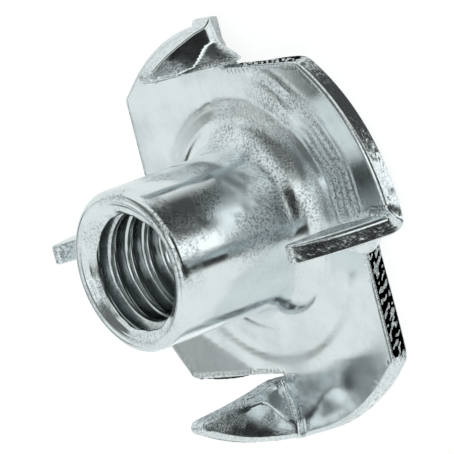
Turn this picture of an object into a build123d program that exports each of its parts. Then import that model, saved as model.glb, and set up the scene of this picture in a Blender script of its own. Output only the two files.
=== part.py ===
from build123d import *

import math
import os

# Tee nut for wood, M6, pressed from one piece of sheet steel.
# Millimetres. +Z runs along the barrel, away from the flange. The origin is on the thread axis,
# in the flat underside of the flange. A prong stands on each of the +X, -Y, -X and +Y sides.

# Flange
FLANGE_DIAMETER = 19.0
SHEET_THICKNESS = 0.9

# Barrel, drawn out of the flange
BARREL_DIAMETER = 7.5
OVERALL_HEIGHT = 8.5
ROOT_FILLET = 1.25
ENTRY_ROUNDING = 1.0
LIP_ROUNDING = 0.2

# Bore, at the crests of an M6 x 1 thread, and its countersunk mouth
THREAD_MINOR_DIAMETER = 5.0
MOUTH_DIAMETER = 6.0

# Straight shear cuts, one along each side of a square
CUT_DISTANCE = 7.15
CORNER_ROUNDING = 0.5
NOTCH_ROUNDING = 1.0

# Prongs, bent up out of the metal outside the cuts
PRONG_COUNT = 4
PRONG_TIP_RADIUS = 0.25
PRONG_BACK_OFFSET = 0.8
BEND_INSIDE_RADIUS = 0.45
SHEAR_GAP = 0.1

# Worked out from the sizes above
flange_radius = FLANGE_DIAMETER / 2
barrel_radius = BARREL_DIAMETER / 2
bore_radius = THREAD_MINOR_DIAMETER / 2
mouth_radius = MOUTH_DIAMETER / 2
mouth_depth = mouth_radius - bore_radius
bend_outside_radius = BEND_INSIDE_RADIUS + SHEET_THICKNESS
bend_start = PRONG_BACK_OFFSET - bend_outside_radius
prong_front_offset = PRONG_BACK_OFFSET - SHEET_THICKNESS
prong_inner_edge = CUT_DISTANCE + SHEAR_GAP
root_overlap = SHEET_THICKNESS / 2

# The bend takes this length of flat sheet, measured along the middle of its thickness
bend_length = math.pi / 2 * (BEND_INSIDE_RADIUS + SHEET_THICKNESS / 2)

# The outer edge of a prong is the old rim, so it is an arc of the flange's own radius. Its centre
# was on the thread axis before bending, and the bend carries it up to this height.
rim_arc_height = bend_outside_radius - bend_start - bend_length

# One prong on the +X side, seen edge on: a flat overlap into the flange, the bend and the blade
prong_side = Plane(origin=(flange_radius, 0, 0), x_dir=(0, -1, 0), z_dir=(-1, 0, 0))
blade_top = rim_arc_height + flange_radius

with BuildPart() as prong:
    with BuildSketch(prong_side):
        with BuildLine():
            Polyline(
                (bend_start, 0),
                (bend_start - root_overlap, 0),
                (bend_start - root_overlap, SHEET_THICKNESS),
                (bend_start, SHEET_THICKNESS),
            )
            RadiusArc(
                (bend_start, SHEET_THICKNESS),
                (prong_front_offset, bend_outside_radius),
                -BEND_INSIDE_RADIUS,
            )
            Polyline(
                (prong_front_offset, bend_outside_radius),
                (prong_front_offset, blade_top),
                (PRONG_BACK_OFFSET, blade_top),
                (PRONG_BACK_OFFSET, bend_outside_radius),
            )
            RadiusArc((PRONG_BACK_OFFSET, bend_outside_radius), (bend_start, 0), bend_outside_radius)
        make_face()
    extrude(amount=flange_radius - prong_inner_edge)
    with BuildSketch(Plane.XZ):
        with Locations((0, rim_arc_height)):
            Circle(flange_radius)
    extrude(amount=2 * bend_outside_radius, both=True, mode=Mode.INTERSECT)
    fillet(prong.edges().filter_by(Axis.Y).sort_by(Axis.Z)[-1], PRONG_TIP_RADIUS)

# What the press takes away beside one prong, in plan: the straight cut, rounded into the prong's back,
# and the root that the bend lifts out of the flange
with BuildSketch() as cut_outline:
    with Locations((CUT_DISTANCE, -PRONG_BACK_OFFSET)):
        Rectangle(flange_radius, flange_radius, align=(Align.MIN, Align.MAX))
    fillet(cut_outline.vertices().group_by(Axis.X)[0].sort_by(Axis.Y)[-1], NOTCH_ROUNDING)
    with Locations((CUT_DISTANCE + NOTCH_ROUNDING, -bend_start)):
        Rectangle(flange_radius, bend_outside_radius + NOTCH_ROUNDING, align=(Align.MIN, Align.MAX))

with BuildPart() as tee_nut:
    # Flange
    with BuildSketch() as flange_outline:
        Circle(flange_radius)
        with PolarLocations(0, PRONG_COUNT):
            add(cut_outline.sketch, mode=Mode.SUBTRACT)
        corners = flange_outline.vertices().filter_by(
            lambda corner: min(abs(corner.X), abs(corner.Y)) > CUT_DISTANCE / 2
        )
        fillet(corners, CORNER_ROUNDING)
    extrude(amount=SHEET_THICKNESS)

    # Barrel, with the fillet at its root
    with BuildSketch(Plane.XZ):
        with BuildLine():
            Polyline(
                (barrel_radius + ROOT_FILLET, SHEET_THICKNESS),
                (barrel_radius + ROOT_FILLET, SHEET_THICKNESS / 2),
                (0, SHEET_THICKNESS / 2),
                (0, OVERALL_HEIGHT),
                (barrel_radius, OVERALL_HEIGHT),
                (barrel_radius, SHEET_THICKNESS + ROOT_FILLET),
            )
            RadiusArc(
                (barrel_radius, SHEET_THICKNESS + ROOT_FILLET),
                (barrel_radius + ROOT_FILLET, SHEET_THICKNESS),
                -ROOT_FILLET,
            )
        barrel_profile = make_face()
        fillet(barrel_profile.vertices().group_by(Axis.Y)[-1].sort_by(Axis.X)[-1], LIP_ROUNDING)
    revolve(axis=Axis.Z)

    # Bore, rounded where it was drawn from the underside and countersunk at its mouth
    with BuildSketch(Plane.XZ):
        with BuildLine():
            Polyline(
                (bore_radius + ENTRY_ROUNDING, 0),
                (0, 0),
                (0, OVERALL_HEIGHT),
                (mouth_radius, OVERALL_HEIGHT),
                (bore_radius, OVERALL_HEIGHT - mouth_depth),
                (bore_radius, ENTRY_ROUNDING),
            )
            RadiusArc((bore_radius, ENTRY_ROUNDING), (bore_radius + ENTRY_ROUNDING, 0), -ENTRY_ROUNDING)
        make_face()
    revolve(axis=Axis.Z, mode=Mode.SUBTRACT)

    # Prongs
    with PolarLocations(0, PRONG_COUNT):
        add(prong.part)

os.makedirs("parts", exist_ok=True)
tee_nut.part.label = "tee_nut"
export_step(tee_nut.part, "parts/tee_nut.step")
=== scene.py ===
import math

import bpy
import numpy as np
from bpy.props import FloatProperty, FloatVectorProperty, IntProperty, PointerProperty
from mathutils import Matrix, Vector
from mathutils.geometry import delaunay_2d_cdt


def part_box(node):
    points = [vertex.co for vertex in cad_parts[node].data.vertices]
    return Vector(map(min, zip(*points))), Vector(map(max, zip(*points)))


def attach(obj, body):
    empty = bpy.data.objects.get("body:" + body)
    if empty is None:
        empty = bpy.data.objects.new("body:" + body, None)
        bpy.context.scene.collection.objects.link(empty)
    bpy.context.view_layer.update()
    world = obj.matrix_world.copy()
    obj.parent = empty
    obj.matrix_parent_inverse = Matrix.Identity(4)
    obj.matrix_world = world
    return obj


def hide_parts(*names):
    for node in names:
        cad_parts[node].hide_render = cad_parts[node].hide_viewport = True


bl_info = {
    "name": "Tee nut",
    "version": (1, 0, 0),
    "blender": (4, 5, 0),
    "location": "3D View > Sidebar > Tee nut",
    "description": "Builds a zinc-plated pressed tee nut with a cut thread, and a pale studio around it",
    "category": "Add Mesh",
}

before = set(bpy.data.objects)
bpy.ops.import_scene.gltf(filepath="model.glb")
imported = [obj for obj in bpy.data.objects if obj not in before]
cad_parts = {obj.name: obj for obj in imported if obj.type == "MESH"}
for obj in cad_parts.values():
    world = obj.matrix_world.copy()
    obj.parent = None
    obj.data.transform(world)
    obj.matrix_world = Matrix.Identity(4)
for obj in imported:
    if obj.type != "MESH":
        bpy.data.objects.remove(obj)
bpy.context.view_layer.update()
NODE_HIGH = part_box("tee_nut")[1]

MM = 0.001
SIDES = 4

# The sheared edge: rows of torn metal, how far it stands out in millimetres, how much less on the rim,
# and the steps in the rounding of its lower and upper corners
TORN_ROWS = 6
TORN_DEPTH = 0.022
TORN_SEED = 5
RIM_WEAR = 0.55
LOW_CORNER_STEPS = 4
TOP_CORNER_STEPS = 5

# Spacing of the mesh's inner points and their gap to the edge, in millimetres
COARSE_SPACING = 0.24
CLOSE_SPACING = 0.12
BEND_SPACING = (0.11, 0.09)
EDGE_GAP = 0.08

# The barrel's end, in millimetres: rounding of the lip and of the mouth's rim, how softly the thread
# runs out, and how deep the mouth is dented
LIP_ROUNDING = 0.32
MOUTH_ROUNDING = 0.3
THREAD_BLEND = 0.04
DENT_DEPTH = 0.022


# ---------------------------------------------------------------------------
# Sizes and finishes that a user may change
# ---------------------------------------------------------------------------


def length(name, description, value):
    """A size in metres, shown with the scene's own units."""
    return FloatProperty(name=name, description=description, default=value, min=0.0, unit="LENGTH",
                         precision=5)


class NutSizes(bpy.types.PropertyGroup):
    """Sizes of the pressing."""
    height: length("Height", "Underside of the flange to the mouth of the barrel", NODE_HIGH.z)
    sheet: length("Sheet", "Thickness of the steel sheet", 0.9 * MM)
    blank_radius: length("Blank radius", "Radius of the round blank", 9.6 * MM)
    barrel_radius: length("Barrel radius", "Outside radius of the barrel", 3.75 * MM)
    root_fillet: length("Root fillet", "Fillet where the barrel leaves the flange", 1.4 * MM)
    entry_rounding: length("Entry rounding", "Rounding where the barrel was drawn from below", 1.0 * MM)
    crest_radius: length("Thread crest radius", "Radius of the thread's crests", 2.5 * MM)
    thread_depth: length("Thread depth", "Depth of the thread's groove", 0.56 * MM)
    thread_pitch: length("Thread pitch", "Rise of one turn of the thread", 1.0 * MM)
    mouth_radius: length("Mouth radius", "Radius of the countersunk mouth", 3.0 * MM)
    bend_inside: length("Bend radius", "Inside radius where a prong is bent up", 0.45 * MM)
    prong_back: length("Prong offset", "Back face of a prong from the thread axis", 0.8 * MM)
    columns: IntProperty(name="Columns", description="Columns of the mesh round the barrel", default=240,
                         min=24)


class ZincFinish(bpy.types.PropertyGroup):
    """Colours and gloss of the zinc plating."""
    colour: FloatVectorProperty(name="Zinc", description="Colour of the plating", subtype="COLOR", size=3,
                                min=0.0, max=1.0, default=(0.84, 0.885, 0.895))
    dull: FloatVectorProperty(name="Dull zinc", description="Colour in the duller patches",
                              subtype="COLOR", size=3, min=0.0, max=1.0, default=(0.76, 0.81, 0.82))
    gloss: FloatProperty(name="Roughness", description="Roughness of the smooth plating", default=0.14,
                         min=0.0, max=1.0, subtype="FACTOR")


class StudioSettings(bpy.types.PropertyGroup):
    """Camera and light."""
    azimuth: FloatProperty(name="Azimuth", description="Camera angle round the thread axis",
                           default=math.radians(10.523), subtype="ANGLE")
    elevation: FloatProperty(name="Elevation", description="Camera angle above the floor",
                             default=math.radians(38.040), subtype="ANGLE")
    roll: FloatProperty(name="Roll", description="Camera turned about its own view line",
                        default=math.radians(110.701), subtype="ANGLE")
    distance: length("Distance", "Camera to the point it looks at", 0.25)
    view_width: length("View width", "Width of the view at the point the camera looks at", 20.304114 * MM)
    aim_height: length("Aim height", "Point on the thread axis that the aim starts from", 3.95 * MM)
    aim_right: length("Aim right", "Aim moved to the camera's right", 1.015 * MM)
    aim_up: length("Aim up", "Aim moved to the camera's up", 0.742 * MM)
    floor_size: length("Floor", "Side of the square floor", 3.0)


# ---------------------------------------------------------------------------
# Small helpers for shapes
# ---------------------------------------------------------------------------


def smooth(t):
    """0 below 0, 1 above 1, and an even ease between."""
    t = np.clip(t, 0.0, 1.0)
    return t * t * (3 - 2 * t)


def side_axes(side):
    """Outward and along directions of one side: +X, -Y, -X, +Y."""
    turn = -math.pi / 2 * side
    out = np.array([math.cos(turn), math.sin(turn)])
    along = np.array([math.sin(turn), -math.cos(turn)])
    return out, along


def arc_points(centre, radius, start, end, step):
    """Points on an arc, in side coordinates, without its last point."""
    count = max(2, int(abs(end - start) * radius / step))
    angles = start + (end - start) * np.arange(count) / count
    return np.stack([centre[0] + radius * np.cos(angles), centre[1] + radius * np.sin(angles)], 1)


def line_points(start, end, step):
    """Points on a line without its last point."""
    start, end = np.array(start, float), np.array(end, float)
    count = max(2, int(np.linalg.norm(end - start) / step))
    share = (np.arange(count) / count)[:, None]
    return start + (end - start) * share


class Pressing:
    """The flat blank with its four slits, and the way the press bends it. All in millimetres."""

    # Blank centre seen from the thread axis
    CENTRE = np.array([-0.25, -0.05])
    # Slit distance from the axis, and how far the prong's inner edge leans out, side by side
    CUTS = (7.30, 7.16, 7.02, 6.96)
    LEANS = (0.15, 0.2, 0.2, 0.1)
    SLIT = 0.22
    SLIT_START = 0.75
    # How far the foot of each prong fans out, how much its blade is drawn longer, and how far its tip
    # leans out
    FLARES = (1.3, 1.3, 2.3, 1.3)
    STRETCHES = (1.0, 0.97, 1.09, 1.0)
    TIP_SHIFTS = (0.0, 0.0, 0.1, 1.05)
    # Share of its width that a foot loses away from the slit, and over what length. Then the same for how far
    # the bend's start moves back.
    FOOT_TAPER = (0.68, 1.8)
    START_TAPER = (0.9, 3.6)
    # Length of blade over which a tip leans out, and how the lean grows along it
    BLADE_LENGTH = 5.2
    LEAN_POWER = 1.2
    # Height at which the lobes' lift has faded out of a prong, and over what height it fades
    LIFT_FADE = (3.0, 1.5)
    # Creases where a lobe was lifted: quarter it lies in, azimuth it faces, distance from the axis, tilt in
    # degrees and width. A crease with no azimuth follows an arc round the axis.
    CREASES = (
        (1, None, 6.4, 9.0, 1.5),
        (2, 180.0, 6.5, 8.0, 1.3),
        (3, 150.0, 7.0, 8.0, 0.3),
    )
    # Burr at the foot of each cut, and the radii of the prong tips and of the flange's corners
    BURRS = (0.10, 0.06, 0.34, 0.1)
    TIP_RADIUS = (0.3, 0.34, 0.3, 0.3)
    CORNER_RADIUS = 0.55
    # Swelling of the rim at each bend, and its width along the rim
    NUBS = (0.33, 0.28, 0.10, 0.25)
    NUB_WIDTHS = (0.42, 0.42, 0.9, 0.5)
    # Spacing of the outline's points, and the rounding of the top corner along the cuts and along the rim
    STEP = 0.13
    CUT_EDGE = 0.09
    RIM_EDGE = 0.24
    # Shallow ring round the barrel: depth, distance from the axis and width
    RING = (0.06, 6.0, 0.5)
    # Wrinkles in the drawn lobe: height, distance between them, and the azimuth of their middle in degrees
    WRINKLE_HEIGHT = 0.036
    WRINKLE_PITCH = 0.95
    WRINKLE_AZIMUTH = -58.0
    WRINKLE_START = 5.0
    WRINKLE_END = 8.6

    def __init__(self, sizes):
        self.sheet = sizes.sheet / MM
        self.radius = sizes.blank_radius / MM
        self.inside = sizes.bend_inside / MM
        self.back = sizes.prong_back / MM
        self.hub = sizes.barrel_radius / MM + sizes.root_fillet / MM + 0.6
        self.outside = self.inside + self.sheet
        self.middle = self.inside + self.sheet / 2
        self.bend_start = self.back - self.outside
        self.bend_length = self.middle * math.pi / 2

    def centre_on(self, side):
        """The blank's centre in one side's coordinates."""
        out, along = side_axes(side)
        return np.array([self.CENTRE @ out, self.CENTRE @ along])

    def nub(self, side, s):
        """The swelling of the rim at the outer end of a bend."""
        middle = self.bend_start + self.bend_length / 2
        return self.NUBS[side] * np.exp(-(((s - middle) / self.NUB_WIDTHS[side]) ** 2))

    def side_outline(self, side):
        """Rim, prong tip, prong inner edge, slit end, cut and corner of one side, clockwise."""
        centre = self.centre_on(side)
        cut, lean = self.CUTS[side], self.LEANS[side]
        inner_foot = cut + self.SLIT
        inner_tip = inner_foot + lean
        tip = self.TIP_RADIUS[side]
        tip_x = inner_tip + tip
        tip_s = centre[1] + math.sqrt((self.radius - tip) ** 2 - (tip_x - centre[0]) ** 2)
        rim_end = math.atan2(tip_s - centre[1], tip_x - centre[0])

        # Where the last side's corner fillet hands over to this side's rim
        last = (side - 1) % SIDES
        last_centre, last_cut = self.centre_on(last), self.CUTS[last]
        corner = self.CORNER_RADIUS
        corner_s = last_centre[1] + math.sqrt(
            (self.radius - corner) ** 2 - (last_cut - corner - last_centre[0]) ** 2)
        rim_start = math.atan2(corner_s - last_centre[1], last_cut - corner - last_centre[0]) - math.pi / 2

        rim = arc_points(centre, self.radius, rim_start, rim_end, self.STEP)
        push = self.nub(side, rim[:, 1])[:, None]
        rim += (rim - centre) / self.radius * push
        parts = [rim]
        parts.append(arc_points((tip_x, tip_s), tip, rim_end, math.pi, self.STEP / 2))
        parts.append(line_points((inner_tip, tip_s), (inner_foot, self.SLIT_START), self.STEP))
        slit = self.SLIT / 2
        parts.append(arc_points((cut + slit, self.SLIT_START), slit, 0.0, -math.pi, 0.03))
        own_corner_s = centre[1] + math.sqrt((self.radius - corner) ** 2 - (cut - corner - centre[0]) ** 2)
        parts.append(line_points((cut, self.SLIT_START), (cut, own_corner_s), self.STEP))
        own_end = math.atan2(own_corner_s - centre[1], cut - corner - centre[0])
        parts.append(arc_points((cut - corner, own_corner_s), corner, 0.0, own_end, self.STEP / 2))
        local = np.concatenate(parts)
        on_rim = np.concatenate([np.full(len(part), float(i == 0)) for i, part in enumerate(parts)])
        on_cut = np.concatenate([np.full(len(part), float(i == 4)) for i, part in enumerate(parts)])
        burr = self.BURRS[side] * on_cut * smooth((local[:, 1] - 2.2) / 2.8)
        out, along = side_axes(side)
        return local[:, :1] * out + local[:, 1:] * along, on_rim, burr

    def outline(self):
        """The whole outline, how much each point belongs to the rounded rim, and the burr below it."""
        sides = [self.side_outline(side) for side in range(SIDES)]
        points, on_rim, burr = (np.concatenate([item[i] for item in sides]) for i in range(3))
        for _ in range(6):
            on_rim = (np.roll(on_rim, 1) + on_rim + np.roll(on_rim, -1)) / 3
            burr = (np.roll(burr, 1) + burr + np.roll(burr, -1)) / 3
        return points, on_rim, burr

    def shape(self, points):
        """Flat-blank positions to pressed positions."""
        points = np.array(points, float)
        flat, z = points[:, :2], points[:, 2]
        result = points.copy()
        for side in range(SIDES):
            out, along = side_axes(side)
            x, s = flat @ out, flat @ along
            cut = self.CUTS[side]
            reach = (x > cut) & (s > self.bend_start)
            if not reach.any():
                continue
            x, s, zz = x[reach], s[reach], z[reach]
            loss, over = self.FOOT_TAPER
            width = self.FLARES[side] * (1 - loss * smooth((s - self.SLIT_START) / over))
            foot = 1 - smooth((x - cut) / width)
            loss, over = self.START_TAPER
            settle = 1 - loss * smooth((s - self.SLIT_START) / over)
            start = self.bend_start + (self.SLIT_START - self.bend_start) * foot * settle
            past = np.maximum(0, s - start)
            angle = np.clip(past / self.middle, 0, math.pi / 2)
            extra = np.maximum(0, past - self.bend_length) * self.STRETCHES[side]
            ray = self.outside - zz
            bent = past > 0
            new_s = np.where(bent, start + ray * np.sin(angle), s)
            new_z = np.where(bent, self.outside - ray * np.cos(angle) + extra, zz)
            new_x = x + self.TIP_SHIFTS[side] * (extra / self.BLADE_LENGTH) ** self.LEAN_POWER
            result[reach, :2] = new_x[:, None] * out + new_s[:, None] * along
            result[reach, 2] = new_z
        faded, over = self.LIFT_FADE
        result[:, 2] += self.set_of_lobes(flat) * smooth((faded - result[:, 2]) / over)
        result[:, 2] += self.dish(flat) * np.clip(z / self.sheet, 0, 1) * (result[:, 2] < self.sheet + 1.2)
        return result

    def set_of_lobes(self, flat):
        """How far each lobe was lifted outside its chord when the prong beside it was bent."""
        lift = np.zeros(len(flat))
        for quarter, azimuth, distance, tilt, width in self.CREASES:
            out, along = side_axes(quarter)
            x, s = flat @ out, flat @ along
            if azimuth is None:
                reach = np.hypot(x, s)
            else:
                facing = math.radians(azimuth)
                reach = flat @ np.array([math.cos(facing), math.sin(facing)])
            beyond = np.maximum(0, reach - distance)
            eased = np.where(beyond < width, beyond * beyond / (2 * width), beyond - width / 2)
            lift += eased * math.tan(math.radians(tilt)) * smooth((0.9 - s) / 1.2) * (x > 0)
        return lift

    def dish(self, flat):
        """Shallow ring round the barrel, and the wrinkles of the drawn lobe, in the flange's top face."""
        r = np.hypot(flat[:, 0], flat[:, 1])
        depth, distance, width = self.RING
        ring = -depth * np.exp(-(((r - distance) / width) ** 2))
        azimuth = np.arctan2(flat[:, 1], flat[:, 0])
        wobble = r + 0.10 * np.sin(7 * azimuth) + 0.05 * np.sin(17 * azimuth + 1.0)
        waves = self.WRINKLE_HEIGHT * np.sin(2 * math.pi * (wobble - self.WRINKLE_START) / self.WRINKLE_PITCH)
        waves *= smooth((r - 5.2) / 0.5) * smooth((8.3 - r) / 0.8) * (0.75 + 0.25 * np.sin(5 * azimuth + 2.0))
        return ring * smooth(r - 4.0) + waves * self.drawn(flat)

    def drawn(self, flat):
        """Share of the wrinkling that the draw left in the lobe beside the -Y prong."""
        azimuth = np.arctan2(flat[:, 1], flat[:, 0])
        return smooth((np.cos(azimuth - math.radians(self.WRINKLE_AZIMUTH)) - 0.70) / 0.22)

    def wrinkled(self, flat):
        """True where the blank is wrinkled and needs a closer mesh."""
        return (self.drawn(flat) > 0.01) & (np.hypot(flat[:, 0], flat[:, 1]) < self.WRINKLE_END)

    def rubbed_and_reflection(self, flat):
        """Share of grain and of painted dark reflection on the flat faces: the drawn lobe, and the metal bent
        up into prongs.
        """
        reach = np.hypot(flat[:, 0], flat[:, 1])
        share = self.drawn(flat) * smooth((self.WRINKLE_END - reach) / 1.5)
        for side in range(SIDES):
            out, along = side_axes(side)
            x, s = flat @ out, flat @ along
            share = np.maximum(share, (x > self.CUTS[side]) * smooth((s + 0.8) / 0.6))
        return share

    def normals(self, points, flat_normals):
        """Normals carried from the blank to the pressed shape."""
        h = 1e-4
        columns = []
        for axis in range(3):
            step = np.zeros(3)
            step[axis] = h
            columns.append((self.shape(points + step) - self.shape(points - step)) / (2 * h))
        a, b, c = columns
        cofactors = (np.cross(b, c), np.cross(c, a), np.cross(a, b))
        n = sum(cofactors[i] * flat_normals[:, i:i + 1] for i in range(3))
        size = np.linalg.norm(n, axis=1, keepdims=True)
        return n / np.maximum(size, 1e-9)


def inside_polygon(points, polygon):
    """True for points inside a closed polygon."""
    x, y = points[:, 0], points[:, 1]
    inside = np.zeros(len(points), bool)
    a, b = polygon, np.roll(polygon, -1, 0)
    for (x0, y0), (x1, y1) in zip(a, b):
        crosses = (y0 > y) != (y1 > y)
        if y0 == y1:
            continue
        at = x0 + (y - y0) * (x1 - x0) / (y1 - y0)
        inside ^= crosses & (x < at)
    return inside


def loop_normals(loop):
    """Outward normals of a clockwise closed loop."""
    ahead = np.roll(loop, -1, 0) - loop
    ahead /= np.linalg.norm(ahead, axis=1, keepdims=True)
    mean = ahead + np.roll(ahead, 1, 0)
    mean /= np.linalg.norm(mean, axis=1, keepdims=True)
    return np.stack([-mean[:, 1], mean[:, 0]], 1)


def square_grid(reach, spacing):
    """Points of a square grid round the axis."""
    steps = np.arange(-reach, reach, spacing)
    return np.stack(np.meshgrid(steps, steps), -1).reshape(-1, 2)


def lattice(pressing):
    """Inner points of the blank: fine where the prongs bend, close in the wrinkles, coarser elsewhere."""
    reach = pressing.radius + 0.5
    coarse = square_grid(reach, COARSE_SPACING)
    coarse = coarse[~pressing.wrinkled(coarse)]
    close = square_grid(reach, CLOSE_SPACING)
    close = close[pressing.wrinkled(close)]
    fine = []
    for side in range(SIDES):
        out, along = side_axes(side)
        low_x, low_s, high_s = pressing.CUTS[side] - 0.15, -1.0, 3.0
        kept = []
        for points in (coarse, close):
            x, s = points @ out, points @ along
            kept.append(points[~((x > low_x - 0.1) & (s > low_s - 0.1) & (s < high_s + 0.1))])
        coarse, close = kept
        xs = np.arange(low_x, reach, BEND_SPACING[0])
        ss = np.arange(low_s, high_s, BEND_SPACING[1])
        local = np.stack(np.meshgrid(xs, ss), -1).reshape(-1, 2)
        fine.append(local[:, :1] * out + local[:, 1:] * along)
    return np.concatenate([coarse, close] + fine)


def clear_of(points, boundary, gap):
    """Points at least gap from every boundary point."""
    keep = np.ones(len(points), bool)
    for start in range(0, len(points), 2000):
        block = points[start:start + 2000]
        away = ((block[:, None, :] - boundary[None]) ** 2).sum(-1).min(1)
        keep[start:start + 2000] = away > gap * gap
    return keep


def fill_face(rim, ring, inner):
    """Triangles between an outer loop and an inner ring, over the inner points."""
    points = np.concatenate([rim, ring, inner])
    rim_count, ring_count = len(rim), len(ring)
    edges = [(i, (i + 1) % rim_count) for i in range(rim_count)]
    edges += [(rim_count + i, rim_count + (i + 1) % ring_count) for i in range(ring_count)]
    made = delaunay_2d_cdt([Vector(p) for p in points], edges, [], 0, 1e-7)
    origin = [item[0] for item in made[3]]
    triangles = np.array([[origin[i] for i in face] for face in made[2]])
    middles = points[triangles].mean(1)
    keep = inside_polygon(middles, rim) & ~inside_polygon(middles, ring)
    return triangles[keep]


# ---------------------------------------------------------------------------
# The nut's mesh
# ---------------------------------------------------------------------------


class MeshParts:
    """Collects vertices, faces, flat-blank normals and the finish of each vertex, with its painted shade and
    painted dark reflection.
    """

    def __init__(self):
        self.points, self.faces, self.normals, self.sheared, self.worked = [], [], [], [], []
        self.groove, self.after = [], []
        self.count = 0

    def add(self, points, normals=None, sheared=0.0, worked=0.0, groove=0.0, after=0.0):
        start = self.count
        amount = len(points)
        self.points.append(np.asarray(points, float))
        self.normals.append(np.zeros((amount, 3)) if normals is None else normals)
        self.sheared.append(np.broadcast_to(sheared, amount).astype(float))
        self.worked.append(np.broadcast_to(worked, amount).astype(float))
        self.groove.append(np.broadcast_to(groove, amount).astype(float))
        self.after.append(np.broadcast_to(after, (amount, 3)).astype(float))
        self.count += amount
        return np.arange(start, start + amount)

    def bridge(self, lower, upper):
        """Quads between two closed clockwise loops of indices."""
        a, b = np.roll(lower, -1), np.roll(upper, -1)
        self.faces.extend(zip(lower.tolist(), upper.tolist(), b.tolist(), a.tolist()))


def barrel_profile(sizes, sheet, hub):
    """Radius and height of the barrel's outside from the flange to the lip, in millimetres."""
    radius, fillet = sizes.barrel_radius / MM, sizes.root_fillet / MM
    height, lip = sizes.height / MM, LIP_ROUNDING
    rows = [(hub - 0.2, sheet), (radius + fillet + 0.2, sheet)]
    for i in range(13):
        a = math.pi / 2 * i / 12
        rows.append((radius + fillet - fillet * math.sin(a), sheet + fillet - fillet * math.cos(a)))
    for z in np.linspace(sheet + fillet, height - lip, 22)[1:-1]:
        rows.append((radius, z))
    for i in range(7):
        a = math.pi / 2 * i / 6
        rows.append((radius - lip + lip * math.cos(a), height - lip + lip * math.sin(a)))
    return rows


def bore_profile(sizes, hub):
    """Radius and height of the bore from the lip to the underside, before the thread is cut."""
    height, mouth, crest = sizes.height / MM, sizes.mouth_radius / MM, sizes.crest_radius / MM
    entry = sizes.entry_rounding / MM
    rounding = MOUTH_ROUNDING
    rows = []
    for i in range(7):
        a = math.pi / 4 * i / 6
        rows.append((mouth + rounding - rounding * math.sin(a), height - rounding + rounding * math.cos(a)))
    cone_top = rows[-1][1]
    for z in np.linspace(cone_top, height - (mouth - crest), 14)[1:]:
        rows.append((crest + (z - (height - (mouth - crest))), z))
    for z in np.linspace(height - (mouth - crest), entry, 156)[1:]:
        rows.append((crest, z))
    for i in range(1, 21):
        a = math.pi / 2 * i / 20
        rows.append((crest + entry - entry * math.cos(a), entry - entry * math.sin(a)))
    for r in (crest + entry + 0.3, crest + entry + 0.8, hub - 0.5):
        rows.append((r, 0.0))
    return rows


def thread_radius(sizes, theta, z):
    """Radius that the tap leaves at an angle and height: a right-hand helix."""
    turn = z / (sizes.thread_pitch / MM) - theta / (2 * math.pi)
    wave = 0.5 - 0.5 * np.cos(2 * math.pi * turn)
    groove = smooth(wave * 1.06 - 0.02)
    return sizes.crest_radius / MM + sizes.thread_depth / MM * groove


def torn_metal(pressing, on_rim):
    """How far each point of the sheared edge stands out, row by row, and its slopes along and up the edge."""
    torn = np.random.default_rng(TORN_SEED).normal(0.0, TORN_DEPTH, (TORN_ROWS + 2, len(on_rim)))
    torn *= 1 - RIM_WEAR * on_rim
    torn[0] = torn[-1] = 0.0
    slope_along = (np.roll(torn, -1, 1) - np.roll(torn, 1, 1)) / (2 * pressing.STEP)
    slope_up = np.zeros_like(torn)
    slope_up[1:-1] = (torn[2:] - torn[:-2]) / (2 * pressing.sheet / (TORN_ROWS + 1))
    return torn, slope_along, slope_up


def add_sheared_edge(parts, pressing):
    """The blank's edge all round, as loops from the bottom face to the top face."""
    sheet = pressing.sheet
    outline, on_rim, burr = pressing.outline()
    count = len(outline)
    outward = loop_normals(outline)
    ahead = np.stack([outward[:, 1], -outward[:, 0]], 1)
    torn, slope_along, slope_up = torn_metal(pressing, on_rim)
    top = pressing.CUT_EDGE + (pressing.RIM_EDGE - pressing.CUT_EDGE) * on_rim
    low = np.full(count, pressing.CUT_EDGE)

    def edge_row(inset, z, lift, row=0):
        """One loop. lift is the sine of its normal above the flat, and row its row of torn metal."""
        flat = outline - outward * inset[:, None]
        spread = np.zeros((count, 3))
        spread[:, :2] = outward * (torn[row] + burr * np.clip(1 - z / sheet, 0, 1))[:, None]
        level = math.sqrt(max(0.0, 1 - lift * lift))
        normal = np.concatenate([outward * level, np.full((count, 1), lift)], 1)
        normal[:, :2] -= ahead * slope_along[row][:, None]
        normal[:, 2] += level * burr / sheet - slope_up[row]
        rounded = 1.0 if abs(lift) < 0.99 else 0.6
        return parts.add(np.concatenate([flat, z[:, None]], 1), normal,
                         sheared=rounded * (1 - 0.7 * on_rim), after=spread)

    loops = []
    for i in range(LOW_CORNER_STEPS, -1, -1):
        a = math.pi / 2 * i / LOW_CORNER_STEPS
        loops.append(edge_row(low * (1 - math.cos(a)), low * (1 - math.sin(a)), -math.sin(a)))
    for row in range(1, TORN_ROWS + 1):
        share = row / (TORN_ROWS + 1)
        loops.append(edge_row(np.zeros(count), low + (sheet - low - top) * share, 0.0, row))
    for i in range(TOP_CORNER_STEPS + 1):
        a = math.pi / 2 * i / TOP_CORNER_STEPS
        loops.append(edge_row(top * (1 - math.cos(a)), sheet - top * (1 - math.sin(a)), math.sin(a)))
    for lower, upper in zip(loops, loops[1:]):
        parts.bridge(lower, upper)
    return loops


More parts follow.
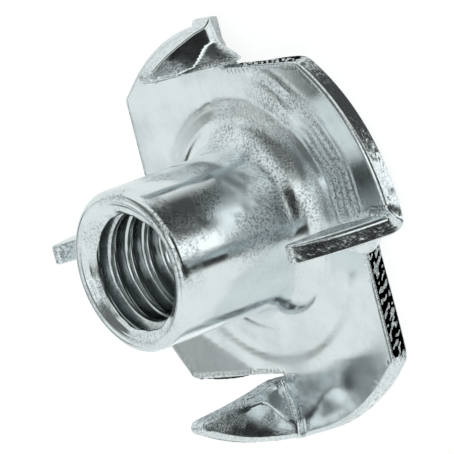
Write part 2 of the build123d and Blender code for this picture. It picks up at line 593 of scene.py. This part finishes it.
def add_flat_face(parts, pressing, loop, ring, grid, up, ring_worked_and_reflection):
    """A flat face of the blank, between its edge loop and the hub ring. up is 1 on top and -1 below."""
    z = pressing.sheet if up > 0 else 0.0
    face_loop = np.concatenate(parts.points)[loop, :2]
    inner = grid[inside_polygon(grid, face_loop)]
    inner = inner[clear_of(inner, face_loop, EDGE_GAP)]
    triangles = fill_face(face_loop, ring, inner)
    ring_ids = parts.add(np.concatenate([ring, np.full((len(ring), 1), z)], 1), worked=ring_worked_and_reflection)
    flat_normals = np.tile((0.0, 0.0, up), (len(inner), 1))
    inner_ids = parts.add(np.concatenate([inner, np.full((len(inner), 1), z)], 1), flat_normals,
                          worked=pressing.rubbed_and_reflection(inner))
    ids = np.concatenate([loop, ring_ids, inner_ids])
    turned = triangles if up > 0 else triangles[:, ::-1]
    parts.faces.extend(map(tuple, ids[turned].tolist()))
    return ring_ids


def add_barrel(parts, sizes, pressing, ring_xy, drawn_and_reflection_side, last):
    """Outside of the barrel, from the hub ring to the lip."""
    for r, z in barrel_profile(sizes, pressing.sheet, pressing.hub):
        row = np.concatenate([ring_xy * r, np.full((len(ring_xy), 1), z)], 1)
        ids = parts.add(row, worked=drawn_and_reflection_side * (1.0 if z > pressing.sheet + 0.05 else 0.6))
        parts.bridge(last, ids)
        last = ids
    return last


def add_bore(parts, sizes, pressing, theta, ring_xy, last):
    """Mouth, threaded bore and rounded entry, back to the underside. The thread's grooves and the bore below
    the mouth carry painted shade.
    """
    height, crest, depth = sizes.height / MM, sizes.crest_radius / MM, sizes.thread_depth / MM
    dents = np.sin(5 * theta + 0.7) + np.sin(9 * theta + 2.0) + 0.7 * np.sin(16 * theta + 1.1)
    for r, z in bore_profile(sizes, pressing.hub):
        radii = np.full(len(theta), r)
        groove = 0.0
        if z > 1e-6:
            cut = thread_radius(sizes, theta, z)
            gap = cut - radii
            blended = radii + (gap + THREAD_BLEND) ** 2 / (4 * THREAD_BLEND)
            radii = np.where(gap > THREAD_BLEND, cut, np.where(gap < -THREAD_BLEND, radii, blended))
            inside = smooth((height - 0.35 - z) / 0.5)
            # Painted shade: darker the deeper the thread's groove, and a little darker all down the bore
            # below the mouth
            groove = np.clip((radii - crest) / depth, 0.0, 1.0) * inside + 0.12 * inside
            in_mouth = smooth((z - (height - 0.75)) / 0.3) * (1 - smooth((z - (height - 0.2)) / 0.2))
            radii = radii + DENT_DEPTH * dents * in_mouth
        row = np.concatenate([ring_xy * radii[:, None], np.full((len(theta), 1), z)], 1)
        ids = parts.add(row, worked=0.5, groove=groove)
        parts.bridge(last, ids)
        last = ids
    return last


def finished_mesh(parts, pressing, name):
    """The mesh in its pressed shape, with the normals of the blank's faces and the finish, painted shade and
    painted dark reflection of each vertex.
    """
    points = np.concatenate(parts.points)
    flat_normals = np.concatenate(parts.normals)
    shaped = pressing.shape(points) + np.concatenate(parts.after)
    known = np.linalg.norm(flat_normals, axis=1) > 0.5
    normals = np.zeros_like(points)
    normals[known] = pressing.normals(points[known], flat_normals[known])

    mesh = bpy.data.meshes.new(name)
    mesh.from_pydata((shaped * MM).tolist(), [], parts.faces)
    mesh.update()
    if mesh.validate(verbose=False):
        raise RuntimeError("the nut's mesh had faults that Blender had to mend")
    for label, values in (("sheared", parts.sheared), ("worked", parts.worked), ("groove", parts.groove)):
        layer = mesh.attributes.new(label, "FLOAT", "POINT")
        layer.data.foreach_set("value", np.concatenate(values).astype(np.float32))
    mesh.polygons.foreach_set("use_smooth", np.ones(len(mesh.polygons), bool))
    mesh.normals_split_custom_set_from_vertices(normals.tolist())
    return mesh


def build_nut_mesh(sizes, name):
    """The whole nut as one closed mesh."""
    pressing = Pressing(sizes)
    parts = MeshParts()
    theta = -2 * math.pi * np.arange(sizes.columns) / sizes.columns
    ring_xy = np.stack([np.cos(theta), np.sin(theta)], 1)
    # Share of drawn grain round the barrel, peaking on the side facing -42 degrees; its dark specks there are
    # partly painted dark reflection
    drawn_and_reflection_side = 0.06 + 0.94 * smooth((np.cos(theta - math.radians(-42)) - 0.35) / 0.4)

    loops = add_sheared_edge(parts, pressing)
    grid = lattice(pressing)
    grid = grid[np.hypot(grid[:, 0], grid[:, 1]) > pressing.hub + 0.1]
    ring = ring_xy * pressing.hub
    top_ring = add_flat_face(parts, pressing, loops[-1], ring, grid, 1.0, 0.3 * drawn_and_reflection_side)
    bottom_ring = add_flat_face(parts, pressing, loops[0], ring, grid, -1.0, 0.3 * drawn_and_reflection_side)

    last = add_barrel(parts, sizes, pressing, ring_xy, drawn_and_reflection_side, top_ring)
    last = add_bore(parts, sizes, pressing, theta, ring_xy, last)
    parts.bridge(last, bottom_ring)
    return finished_mesh(parts, pressing, name)


# ---------------------------------------------------------------------------
# Materials
# ---------------------------------------------------------------------------


class Nodes:
    """Short calls for making and joining shader nodes."""

    def __init__(self, tree):
        self.tree = tree
        tree.nodes.clear()

    def new(self, kind, **settings):
        node = self.tree.nodes.new(kind)
        for key, value in settings.items():
            setattr(node, key, value)
        return node

    def link(self, source, target):
        self.tree.links.new(source, target)

    def put(self, node, **values):
        """Sets or joins sockets by name, with spaces written as underscores."""
        for key, value in values.items():
            socket = node.inputs[key.replace("_", " ")]
            if isinstance(value, bpy.types.NodeSocket):
                self.link(value, socket)
            else:
                socket.default_value = value
        return node

    def maths(self, operation, a, b=None, clamp=False):
        node = self.new("ShaderNodeMath", operation=operation, use_clamp=clamp)
        for socket, value in zip(node.inputs, (a, b)):
            if isinstance(value, bpy.types.NodeSocket):
                self.link(value, socket)
            elif value is not None:
                socket.default_value = value
        return node.outputs[0]

    def noise(self, vector, scale, detail=2.0, rough=0.5, distortion=0.0):
        node = self.new("ShaderNodeTexNoise")
        self.put(node, Vector=vector, Scale=scale, Detail=detail, Roughness=rough, Distortion=distortion)
        return node.outputs["Fac"]

    def ramp(self, value, low, high, to_low=0.0, to_high=1.0):
        node = self.new("ShaderNodeMapRange", interpolation_type="SMOOTHSTEP")
        self.put(node, Value=value, From_Min=low, From_Max=high, To_Min=to_low, To_Max=to_high)
        return node.outputs[0]

    def mix_colour(self, factor, a, b):
        node = self.new("ShaderNodeMix", data_type="RGBA")
        for index, value in ((0, factor), (6, a), (7, b)):
            if isinstance(value, bpy.types.NodeSocket):
                self.link(value, node.inputs[index])
            else:
                node.inputs[index].default_value = value
        return node.outputs[2]


def opaque(colour):
    """A colour with full alpha."""
    return (colour[0], colour[1], colour[2], 1.0)


# Noise scales, per metre: the plating's clouds, the fine grain of drawn metal, the torn grain and the
# slow ripples
CLOUD, GRAIN, TORN_GRAIN, RIPPLE = 420.0, 9000.0, 3800.0, 650.0
# Colour of the dark specks: grain of drawn and torn metal, and partly painted dark reflection
SPECK_AND_REFLECTION_COLOUR = (0.12, 0.14, 0.15)
# Colour of the painted shade in the thread's grooves and down the bore
GROOVE_SHADE_COLOUR = (0.10, 0.11, 0.11)
BUMP_DEPTH = 0.03 * MM


def make_zinc(finish):
    """Bright zinc plating: clouded, grained where the metal was drawn, torn on the sheared edges. The dark
    specks are partly painted dark reflection on the barrel and prongs, and the bore's thread has painted
    shade in its grooves.
    """
    material = bpy.data.materials.new("zinc_plate")
    material.use_nodes = True
    n = Nodes(material.node_tree)
    where = n.new("ShaderNodeTexCoord").outputs["Object"]
    sheared = n.new("ShaderNodeAttribute", attribute_name="sheared").outputs["Fac"]
    worked = n.new("ShaderNodeAttribute", attribute_name="worked").outputs["Fac"]

    cloud = n.noise(where, CLOUD, 3.0, 0.6)
    grain = n.noise(where, GRAIN, 3.0, 0.7)
    torn_grain = n.noise(where, TORN_GRAIN, 2.0, 0.6)
    ripple = n.noise(where, RIPPLE, 2.0, 0.5)

    patchy = n.ramp(cloud, 0.35, 0.7)
    colour = n.mix_colour(patchy, opaque(finish.colour), opaque(finish.dull))
    # Dark specks: grain of drawn and torn metal, and partly painted dark reflection on the barrel's side and
    # the prongs
    speck = n.ramp(grain, 0.50, 0.58)
    rubbed_and_reflection = n.maths("MULTIPLY", worked, n.ramp(cloud, 0.44, 0.60))
    speck_and_reflection_amount = n.maths("ADD", n.maths("MULTIPLY", rubbed_and_reflection, 0.62), n.maths("MULTIPLY", sheared, 0.5))
    speck_and_reflection_amount = n.maths("MULTIPLY", speck, n.maths("ADD", speck_and_reflection_amount, 0.03, clamp=True))
    colour = n.mix_colour(speck_and_reflection_amount, colour, opaque(SPECK_AND_REFLECTION_COLOUR))

    # Painted shade: the thread's grooves and the bore are darkened towards this colour
    groove = n.new("ShaderNodeAttribute", attribute_name="groove").outputs["Fac"]
    colour = n.mix_colour(n.maths("MULTIPLY", groove, 0.7, clamp=True), colour, opaque(GROOVE_SHADE_COLOUR))

    rough = n.ramp(cloud, 0.3, 0.75, finish.gloss - 0.04, finish.gloss + 0.08)

    fine_height = n.maths("MULTIPLY", grain, n.maths("ADD", n.maths("MULTIPLY", rubbed_and_reflection, 0.45), 0.05))
    edge_height = n.maths("MULTIPLY", n.maths("ADD", torn_grain, grain), n.maths("MULTIPLY", sheared, 0.8))
    height = n.maths("ADD", n.maths("ADD", fine_height, edge_height), n.maths("MULTIPLY", ripple, 0.12))
    bump = n.new("ShaderNodeBump")
    n.put(bump, Height=height, Strength=1.0, Distance=BUMP_DEPTH)

    shader = n.new("ShaderNodeBsdfPrincipled")
    n.put(shader, Base_Color=colour, Roughness=rough, Metallic=1.0, Normal=bump.outputs["Normal"])
    out = n.new("ShaderNodeOutputMaterial")
    n.link(shader.outputs[0], out.inputs["Surface"])
    return material


# How far the floor lies below the nut, so that the two faces don't fight
FLOOR_DROP = 0.02 * MM


def make_floor_material():
    """Pale matt floor: it keeps the nut's shadow and reads white to the camera. The metal doesn't see it."""
    material = bpy.data.materials.new("pale_floor")
    material.use_nodes = True
    n = Nodes(material.node_tree)
    rays = n.new("ShaderNodeLightPath")
    seen = rays.outputs["Is Camera Ray"]
    matt = n.new("ShaderNodeBsdfDiffuse")
    n.put(matt, Color=(0.3, 0.3, 0.3, 1.0), Roughness=0.0)
    glow = n.new("ShaderNodeEmission")
    n.put(glow, Color=(1.0, 1.0, 1.0, 1.0), Strength=n.maths("MULTIPLY", seen, 0.85))
    both = n.new("ShaderNodeAddShader")
    n.link(matt.outputs[0], both.inputs[0])
    n.link(glow.outputs[0], both.inputs[1])
    out = n.new("ShaderNodeOutputMaterial")
    n.link(both.outputs[0], out.inputs["Surface"])
    return material


# Soft boxes and dark flags round the nut, as the metal sees them. Azimuth and elevation of the middle and
# the turn about it in degrees, half width and half height as tangents, softness, brightness.
CARDS = (
    ("dark flag beside +X", -32, -32, 0, 0.50, 0.75, 0.20, 0.07),
    ("bright box low at the front", -78, -34, 0, 0.15, 0.9, 0.08, 1.25),
    ("tall flag at the front", -101, 0, 0, 0.19, 1.3, 0.05, 0.02),
    ("flag high at the front", -80, 30, 0, 0.52, 0.48, 0.10, 0.02),
    ("window in the high flag", -89, 40, 0, 0.095, 0.08, 0.03, 1.15),
    ("dark flag overhead", 22, 71, 0, 0.58, 0.54, 0.16, 0.16),
    ("bright strip overhead", -60, 74, 0, 0.18, 0.5, 0.10, 1.2),
    ("thin flag at the back", 113, -34, 0, 0.06, 0.4, 0.04, 0.04),
    ("bright box at the back", 132, -36, 0, 0.10, 0.5, 0.06, 1.2),
    ("strip below the back light", 100, 20, 0, 0.24, 0.11, 0.04, 0.04),
    ("strip beside the back light", 93.3, 39, 0, 0.022, 0.09, 0.02, 0.04),
    ("grey card above the back light", 88, 48.5, 0, 0.10, 0.055, 0.02, 0.27),
    ("flag above the back light", 96, 60, 0, 0.16, 0.10, 0.05, 0.08),
)
SKY = 0.88


def card_share(n, ray, azimuth, elevation, turn, half_width, half_height, soft):
    """How much of a rectangular card a ray meets, from 0 to 1 over its soft edge."""
    right, up, middle = camera_axes(math.radians(azimuth + 90), math.radians(elevation), math.radians(turn))
    dots = []
    for axis in (middle, right, up):
        node = n.new("ShaderNodeVectorMath", operation="DOT_PRODUCT")
        n.link(ray, node.inputs[0])
        node.inputs[1].default_value = axis
        dots.append(node.outputs["Value"])
    share = n.ramp(dots[0], 0.05, 0.15)
    ahead = n.maths("MAXIMUM", dots[0], 0.01)
    for dot, half in ((dots[1], half_width), (dots[2], half_height)):
        across = n.maths("ABSOLUTE", n.maths("DIVIDE", dot, ahead))
        share = n.maths("MULTIPLY", share, n.ramp(across, half - soft, half + soft, 1.0, 0.0))
    return share


def make_world():
    """White to the camera. Every other ray meets a pale sky with the cards in it."""
    world = bpy.data.worlds.new("studio")
    bpy.context.scene.world = world
    world.use_nodes = True
    n = Nodes(world.node_tree)
    ray = n.new("ShaderNodeTexCoord").outputs["Generated"]
    level = SKY
    for _, azimuth, elevation, turn, half_width, half_height, soft, brightness in CARDS:
        share = card_share(n, ray, azimuth, elevation, turn, half_width, half_height, soft)
        node = n.new("ShaderNodeMix", data_type="FLOAT")
        n.link(share, node.inputs[0])
        if isinstance(level, float):
            node.inputs[2].default_value = level
        else:
            n.link(level, node.inputs[2])
        node.inputs[3].default_value = brightness
        level = node.outputs[0]
    lit = n.new("ShaderNodeBackground")
    n.put(lit, Color=(0.96, 1.0, 1.0, 1.0), Strength=level)
    white = n.new("ShaderNodeBackground")
    n.put(white, Color=(1.0, 1.0, 1.0, 1.0), Strength=1.0)
    rays = n.new("ShaderNodeLightPath")
    pick = n.new("ShaderNodeMixShader")
    n.link(rays.outputs["Is Camera Ray"], pick.inputs[0])
    n.link(lit.outputs[0], pick.inputs[1])
    n.link(white.outputs[0], pick.inputs[2])
    out = n.new("ShaderNodeOutputWorld")
    n.link(pick.outputs[0], out.inputs["Surface"])


# ---------------------------------------------------------------------------
# Operators and panel
# ---------------------------------------------------------------------------


class TEENUT_OT_nut(bpy.types.Operator):
    """Build the pressed nut with its thread and prongs"""
    bl_idname = "teenut.nut"
    bl_label = "Nut"

    def execute(self, context):
        scene = context.scene
        mesh = build_nut_mesh(scene.teenut_sizes, "nut")
        nut = bpy.data.objects.new("nut", mesh)
        scene.collection.objects.link(nut)
        mesh.materials.append(make_zinc(scene.teenut_finish))
        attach(nut, "root")
        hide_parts("tee_nut")
        return {"FINISHED"}


def camera_axes(azimuth, elevation, roll):
    """Right, up and back of a camera that looks down on the nut and is turned about its view line."""
    back = Vector((math.sin(azimuth) * math.cos(elevation), -math.cos(azimuth) * math.cos(elevation),
                   math.sin(elevation)))
    right = Vector((math.cos(azimuth), math.sin(azimuth), 0.0))
    up = back.cross(right)
    turned_right = right * math.cos(roll) - up * math.sin(roll)
    turned_up = right * math.sin(roll) + up * math.cos(roll)
    return turned_right, turned_up, back


class TEENUT_OT_stage(bpy.types.Operator):
    """Add the floor, the light and the camera"""
    bl_idname = "teenut.stage"
    bl_label = "Stage"

    def execute(self, context):
        scene, studio = context.scene, context.scene.teenut_studio
        half = studio.floor_size / 2
        mesh = bpy.data.meshes.new("floor")
        mesh.from_pydata([(-half, -half, 0), (half, -half, 0), (half, half, 0), (-half, half, 0)], [],
                         [(0, 1, 2, 3)])
        mesh.materials.append(make_floor_material())
        floor = bpy.data.objects.new("floor", mesh)
        floor.location.z = -FLOOR_DROP
        floor.visible_glossy = False
        scene.collection.objects.link(floor)
        make_world()

        right, up, back = camera_axes(studio.azimuth, studio.elevation, studio.roll)
        aim = Vector((0, 0, studio.aim_height)) + right * studio.aim_right + up * studio.aim_up
        lens = bpy.data.cameras.new("camera")
        lens.sensor_width = 36.0
        lens.lens = lens.sensor_width * studio.distance / studio.view_width
        lens.clip_start, lens.clip_end = 0.01, 10.0
        camera = bpy.data.objects.new("camera", lens)
        place = Matrix((right, up, back)).transposed().to_4x4()
        place.translation = aim + back * studio.distance
        camera.matrix_world = place
        scene.collection.objects.link(camera)
        scene.camera = camera
        scene.view_settings.view_transform = "Standard"
        return {"FINISHED"}


class TEENUT_PT_panel(bpy.types.Panel):
    """Lists the operators and sizes"""
    bl_idname = "TEENUT_PT_panel"
    bl_label = "Tee nut"
    bl_space_type = "VIEW_3D"
    bl_region_type = "UI"
    bl_category = "Tee nut"

    def draw(self, context):
        layout = self.layout
        for operator in OPERATORS:
            layout.operator(operator.bl_idname)
        for group in (context.scene.teenut_sizes, context.scene.teenut_finish, context.scene.teenut_studio):
            box = layout.box()
            for key in group.__annotations__:
                box.prop(group, key)


GROUPS = {"teenut_sizes": NutSizes, "teenut_finish": ZincFinish, "teenut_studio": StudioSettings}
OPERATORS = (TEENUT_OT_nut, TEENUT_OT_stage)


def register():
    for key, group in GROUPS.items():
        bpy.utils.register_class(group)
        setattr(bpy.types.Scene, key, PointerProperty(type=group))
    for item in OPERATORS + (TEENUT_PT_panel,):
        bpy.utils.register_class(item)


def unregister():
    for item in (TEENUT_PT_panel,) + OPERATORS[::-1]:
        bpy.utils.unregister_class(item)
    for key, group in GROUPS.items():
        delattr(bpy.types.Scene, key)
        bpy.utils.unregister_class(group)


def main():
    register()
    bpy.ops.teenut.nut()
    bpy.ops.teenut.stage()


if __name__ == "__main__":
    main()
